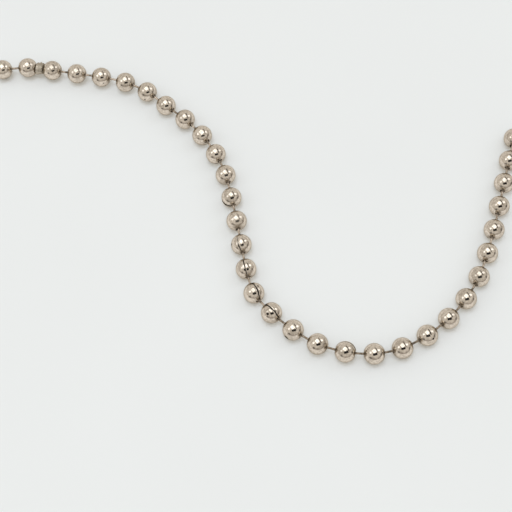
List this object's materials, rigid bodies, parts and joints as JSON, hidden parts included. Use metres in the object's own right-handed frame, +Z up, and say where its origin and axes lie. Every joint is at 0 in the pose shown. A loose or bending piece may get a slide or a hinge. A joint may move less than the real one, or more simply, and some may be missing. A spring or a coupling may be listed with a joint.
{
  "type": "roller blind chain",
  "caption": "Run of metal roller blind chain lying in a curve: hollow balls joined by trapped dumbbell links, with the small crimped joiner that closes the loop.",
  "frame": {"origin": "on the surface that the balls lie on, under the middle of the run's bounding box", "axes": "+Z up from that surface; +X along the run's longest extent, from the end near the joiner towards the other end; +Y towards the joiner end's side"},
  "size_m": [0.1206, 0.0844, 0.0045],
  "materials": {
    "ball": "polished nickel plate",
    "link": "plain nickel plate",
    "sleeve": "plain nickel plate, crimped"
  },
  "bodies": {
    "ball_01": {"ball_01": "ball"},
    "ball_02": {"ball_02": "ball"},
    "link_01": {"link_01": "link"},
    "ball_03": {"ball_03": "ball"},
    "joiner": {"link_end_rear": "link", "joiner_sleeve": "sleeve", "link_end_front": "link"},
    "ball_04": {"ball_04": "ball"},
    "link_03": {"link_03": "link"},
    "ball_05": {"ball_05": "ball"},
    "link_04": {"link_04": "link"},
    "ball_06": {"ball_06": "ball"},
    "link_05": {"link_05": "link"},
    "ball_07": {"ball_07": "ball"},
    "link_06": {"link_06": "link"},
    "ball_08": {"ball_08": "ball"},
    "link_07": {"link_07": "link"},
    "ball_09": {"ball_09": "ball"},
    "link_08": {"link_08": "link"},
    "ball_10": {"ball_10": "ball"},
    "link_09": {"link_09": "link"},
    "ball_11": {"ball_11": "ball"},
    "link_10": {"link_10": "link"},
    "ball_12": {"ball_12": "ball"},
    "link_11": {"link_11": "link"},
    "ball_13": {"ball_13": "ball"},
    "link_12": {"link_12": "link"},
    "ball_14": {"ball_14": "ball"},
    "link_13": {"link_13": "link"},
    "ball_15": {"ball_15": "ball"},
    "link_14": {"link_14": "link"},
    "ball_16": {"ball_16": "ball"},
    "link_15": {"link_15": "link"},
    "ball_17": {"ball_17": "ball"},
    "link_16": {"link_16": "link"},
    "ball_18": {"ball_18": "ball"},
    "link_17": {"link_17": "link"},
    "ball_19": {"ball_19": "ball"},
    "link_18": {"link_18": "link"},
    "ball_20": {"ball_20": "ball"},
    "link_19": {"link_19": "link"},
    "ball_21": {"ball_21": "ball"},
    "link_20": {"link_20": "link"},
    "ball_22": {"ball_22": "ball"},
    "link_21": {"link_21": "link"},
    "ball_23": {"ball_23": "ball"},
    "link_22": {"link_22": "link"},
    "ball_24": {"ball_24": "ball"},
    "link_23": {"link_23": "link"},
    "ball_25": {"ball_25": "ball"},
    "link_24": {"link_24": "link"},
    "ball_26": {"ball_26": "ball"},
    "link_25": {"link_25": "link"},
    "ball_27": {"ball_27": "ball"},
    "ball_28": {"ball_28": "ball"},
    "ball_29": {"ball_29": "ball"},
    "ball_30": {"ball_30": "ball"},
    "ball_31": {"ball_31": "ball"},
    "ball_32": {"ball_32": "ball"},
    "ball_33": {"ball_33": "ball"}
  },
  "joints": [
    {"name": "link_01_swing", "type": "hinge", "parent": "ball_01", "child": "link_01", "pos_m": [-0.05689, 0.03999, 0.00225], "axis": [0, 0, 1], "range_deg": [-18, 18]},
    {"name": "ball_02_tilt", "type": "hinge", "parent": "link_01", "child": "ball_02", "pos_m": [-0.05332, 0.04005, 0.00225], "axis": [-0.0175, 0.9998, 0], "range_deg": [-16, 16]},
    {"name": "joiner_swing", "type": "hinge", "parent": "ball_02", "child": "joiner", "pos_m": [-0.05091, 0.03975, 0.00225], "axis": [0, 0, -1], "range_deg": [-21, 5]},
    {"name": "ball_03_tilt", "type": "hinge", "parent": "joiner", "child": "ball_03", "pos_m": [-0.04746, 0.03883, 0.00225], "axis": [-0.2588, -0.9659, 0], "range_deg": [-13, 13]},
    {"name": "link_03_swing", "type": "hinge", "parent": "ball_03", "child": "link_03", "pos_m": [-0.04512, 0.0382, 0.00225], "axis": [0, 0, 1], "range_deg": [-18, 18]},
    {"name": "ball_04_tilt", "type": "hinge", "parent": "link_03", "child": "ball_04", "pos_m": [-0.04167, 0.03727, 0.00225], "axis": [0.2588, 0.9659, 0], "range_deg": [-18, 18]},
    {"name": "link_04_swing", "type": "hinge", "parent": "ball_04", "child": "link_04", "pos_m": [-0.03932, 0.03665, 0.00225], "axis": [0, 0, -1], "range_deg": [-18, 18]},
    {"name": "ball_05_tilt", "type": "hinge", "parent": "link_04", "child": "ball_05", "pos_m": [-0.03587, 0.03572, 0.00225], "axis": [-0.2588, -0.9659, 0], "range_deg": [-17, 17]},
    {"name": "link_05_swing", "type": "hinge", "parent": "ball_05", "child": "link_05", "pos_m": [-0.03355, 0.03501, 0.00225], "axis": [0, 0, 1], "range_deg": [-16, 20]},
    {"name": "ball_06_tilt", "type": "hinge", "parent": "link_05", "child": "ball_06", "pos_m": [-0.03017, 0.03385, 0.00225], "axis": [0.3256, 0.9455, 0], "range_deg": [-16, 16]},
    {"name": "link_06_swing", "type": "hinge", "parent": "ball_06", "child": "link_06", "pos_m": [-0.02799, 0.03278, 0.00225], "axis": [0, 0, -1], "range_deg": [-25, 11]},
    {"name": "ball_07_tilt", "type": "hinge", "parent": "link_06", "child": "ball_07", "pos_m": [-0.02499, 0.03084, 0.00225], "axis": [-0.5446, -0.8387, 0], "range_deg": [-16, 16]},
    {"name": "link_07_swing", "type": "hinge", "parent": "ball_07", "child": "link_07", "pos_m": [-0.02313, 0.02928, 0.00225], "axis": [0, 0, 1], "range_deg": [-11, 25]},
    {"name": "ball_08_tilt", "type": "hinge", "parent": "link_07", "child": "ball_08", "pos_m": [-0.0207, 0.02667, 0.00225], "axis": [0.7314, 0.682, 0], "range_deg": [-17, 17]},
    {"name": "link_08_swing", "type": "hinge", "parent": "ball_08", "child": "link_08", "pos_m": [-0.019, 0.02493, 0.00225], "axis": [0, 0, -1], "range_deg": [-16.5, 19.5]},
    {"name": "ball_09_tilt", "type": "hinge", "parent": "link_08", "child": "ball_09", "pos_m": [-0.01643, 0.02245, 0.00225], "axis": [-0.6947, -0.7193, 0], "range_deg": [-17, 17]},
    {"name": "link_09_swing", "type": "hinge", "parent": "ball_09", "child": "link_09", "pos_m": [-0.0148, 0.02065, 0.00225], "axis": [0, 0, 1], "range_deg": [-14, 22]},
    {"name": "ball_10_tilt", "type": "hinge", "parent": "link_09", "child": "ball_10", "pos_m": [-0.0126, 0.01783, 0.00225], "axis": [0.788, 0.6157, 0], "range_deg": [-17, 17]},
    {"name": "link_10_swing", "type": "hinge", "parent": "ball_10", "child": "link_10", "pos_m": [-0.01128, 0.0158, 0.00225], "axis": [0, 0, -1], "range_deg": [-23, 13]},
    {"name": "ball_11_tilt", "type": "hinge", "parent": "link_10", "child": "ball_11", "pos_m": [-0.0096, 0.01264, 0.00225], "axis": [-0.8829, -0.4695, 0], "range_deg": [-17, 17]},
    {"name": "link_11_swing", "type": "hinge", "parent": "ball_11", "child": "link_11", "pos_m": [-0.00865, 0.01041, 0.00225], "axis": [0, 0, 1], "range_deg": [-13, 23]},
    {"name": "ball_12_tilt", "type": "hinge", "parent": "link_11", "child": "ball_12", "pos_m": [-0.00755, 0.00701, 0.00225], "axis": [0.9511, 0.309, 0], "range_deg": [-17, 17]},
    {"name": "link_12_swing", "type": "hinge", "parent": "ball_12", "child": "link_12", "pos_m": [-0.007, 0.00464, 0.00225], "axis": [0, 0, -1], "range_deg": [-23, 13]},
    {"name": "ball_13_tilt", "type": "hinge", "parent": "link_12", "child": "ball_13", "pos_m": [-0.00651, 0.00111, 0.00225], "axis": [-0.9903, -0.1392, 0], "range_deg": [-17, 17]},
    {"name": "link_13_swing", "type": "hinge", "parent": "ball_13", "child": "link_13", "pos_m": [-0.00619, -0.0013, 0.00225], "axis": [0, 0, 1], "range_deg": [-17.5, 18.5]},
    {"name": "ball_14_tilt", "type": "hinge", "parent": "link_13", "child": "ball_14", "pos_m": [-0.00576, -0.00484, 0.00225], "axis": [0.9925, 0.1219, 0], "range_deg": [-17, 17]},
    {"name": "link_14_swing", "type": "hinge", "parent": "ball_14", "child": "link_14", "pos_m": [-0.00548, -0.00726, 0.00225], "axis": [0, 0, -1], "range_deg": [-18.5, 17.5]},
    {"name": "ball_15_tilt", "type": "hinge", "parent": "link_14", "child": "ball_15", "pos_m": [-0.00511, -0.01081, 0.00225], "axis": [-0.9945, -0.1045, 0], "range_deg": [-17, 17]},
    {"name": "link_15_swing", "type": "hinge", "parent": "ball_15", "child": "link_15", "pos_m": [-0.00487, -0.01323, 0.00225], "axis": [0, 0, 1], "range_deg": [-17.5, 18.5]},
    {"name": "ball_16_tilt", "type": "hinge", "parent": "link_15", "child": "ball_16", "pos_m": [-0.00456, -0.01678, 0.00225], "axis": [0.9962, 0.0872, 0], "range_deg": [-17, 17]},
    {"name": "link_16_swing", "type": "hinge", "parent": "ball_16", "child": "link_16", "pos_m": [-0.00425, -0.01919, 0.00225], "axis": [0, 0, -1], "range_deg": [-15.5, 20.5]},
    {"name": "ball_17_tilt", "type": "hinge", "parent": "link_16", "child": "ball_17", "pos_m": [-0.00363, -0.02271, 0.00225], "axis": [-0.9848, -0.1736, 0], "range_deg": [-12, 12]},
    {"name": "link_17_swing", "type": "hinge", "parent": "ball_17", "child": "link_17", "pos_m": [-0.00268, -0.02494, 0.00225], "axis": [0, 0, 1], "range_deg": [-31, 5]},
    {"name": "ball_18_tilt", "type": "hinge", "parent": "link_17", "child": "ball_18", "pos_m": [-0.00058, -0.02783, 0.00225], "axis": [0.809, 0.5878, 0], "range_deg": [-17, 17]},
    {"name": "link_18_swing", "type": "hinge", "parent": "ball_18", "child": "link_18", "pos_m": [0.00098, -0.02969, 0.00225], "axis": [0, 0, -1], "range_deg": [-14, 22]},
    {"name": "ball_19_tilt", "type": "hinge", "parent": "link_18", "child": "ball_19", "pos_m": [0.00346, -0.03226, 0.00225], "axis": [-0.7193, -0.6947, 0], "range_deg": [-17, 17]},
    {"name": "link_19_swing", "type": "hinge", "parent": "ball_19", "child": "link_19", "pos_m": [0.00527, -0.03389, 0.00225], "axis": [0, 0, 1], "range_deg": [-22, 14]},
    {"name": "ball_20_tilt", "type": "hinge", "parent": "link_19", "child": "ball_20", "pos_m": [0.00808, -0.03609, 0.00225], "axis": [0.6157, 0.788, 0], "range_deg": [-16, 16]},
    {"name": "link_20_swing", "type": "hinge", "parent": "ball_20", "child": "link_20", "pos_m": [0.01019, -0.0373, 0.00225], "axis": [0, 0, -1], "range_deg": [-10, 26]},
    {"name": "ball_21_tilt", "type": "hinge", "parent": "link_20", "child": "ball_21", "pos_m": [0.0135, -0.03864, 0.00225], "axis": [-0.3746, -0.9272, 0], "range_deg": [-16, 16]},
    {"name": "link_21_swing", "type": "hinge", "parent": "ball_21", "child": "link_21", "pos_m": [0.01583, -0.03931, 0.00225], "axis": [0, 0, 1], "range_deg": [-24, 12]},
    {"name": "ball_22_tilt", "type": "hinge", "parent": "link_21", "child": "ball_22", "pos_m": [0.01935, -0.03993, 0.00225], "axis": [0.1736, 0.9848, 0], "range_deg": [-15, 15]},
    {"name": "link_22_swing", "type": "hinge", "parent": "ball_22", "child": "link_22", "pos_m": [0.02178, -0.03999, 0.00225], "axis": [0, 0, -1], "range_deg": [-9.5, 26.5]},
    {"name": "ball_23_tilt", "type": "hinge", "parent": "link_22", "child": "ball_23", "pos_m": [0.02532, -0.03956, 0.00225], "axis": [0.1219, -0.9925, 0], "range_deg": [-15, 15]},
    {"name": "link_23_swing", "type": "hinge", "parent": "ball_23", "child": "link_23", "pos_m": [0.02766, -0.03891, 0.00225], "axis": [0, 0, 1], "range_deg": [-26.5, 9.5]},
    {"name": "ball_24_tilt", "type": "hinge", "parent": "link_23", "child": "ball_24", "pos_m": [0.03092, -0.03746, 0.00225], "axis": [-0.4067, 0.9135, 0], "range_deg": [-17, 17]},
    {"name": "link_24_swing", "type": "hinge", "parent": "ball_24", "child": "link_24", "pos_m": [0.03305, -0.03628, 0.00225], "axis": [0, 0, -1], "range_deg": [-13, 23]},
    {"name": "ball_25_tilt", "type": "hinge", "parent": "link_24", "child": "ball_25", "pos_m": [0.03601, -0.03428, 0.00225], "axis": [0.5592, -0.829, 0], "range_deg": [-17, 17]},
    {"name": "link_25_swing", "type": "hinge", "parent": "ball_25", "child": "link_25", "pos_m": [0.0379, -0.03275, 0.00225], "axis": [0, 0, 1], "range_deg": [-23, 13]},
    {"name": "ball_26_tilt", "type": "hinge", "parent": "link_25", "child": "ball_26", "pos_m": [0.04047, -0.03027, 0.00225], "axis": [-0.6947, 0.7193, 0], "range_deg": [-17, 17]},
    {"name": "ball_27_swing", "type": "hinge", "parent": "ball_26", "child": "ball_27", "pos_m": [0.04416, -0.02555, 0.00225], "axis": [0, 0, 1], "range_deg": [-23, 13]},
    {"name": "ball_28_tilt", "type": "hinge", "parent": "ball_27", "child": "ball_28", "pos_m": [0.04698, -0.02026, 0.00225], "axis": [-0.8988, 0.4384, 0], "range_deg": [-17, 17]},
    {"name": "ball_29_swing", "type": "hinge", "parent": "ball_28", "child": "ball_29", "pos_m": [0.04938, -0.01476, 0.00225], "axis": [0, 0, -1], "range_deg": [-16.5, 19.5]},
    {"name": "ball_30_tilt", "type": "hinge", "parent": "ball_29", "child": "ball_30", "pos_m": [0.05149, -0.00915, 0.00225], "axis": [0.9397, -0.342, 0], "range_deg": [-18, 18]},
    {"name": "ball_31_swing", "type": "hinge", "parent": "ball_30", "child": "ball_31", "pos_m": [0.05354, -0.00351, 0.00225], "axis": [0, 0, 1], "range_deg": [-18, 18]},
    {"name": "ball_32_tilt", "type": "hinge", "parent": "ball_31", "child": "ball_32", "pos_m": [0.05559, 0.00213, 0.00225], "axis": [-0.9397, 0.342, 0], "range_deg": [-18, 18]},
    {"name": "ball_33_swing", "type": "hinge", "parent": "ball_32", "child": "ball_33", "pos_m": [0.05765, 0.00777, 0.00225], "axis": [0, 0, -1], "range_deg": [-18, 18]}
  ]
}
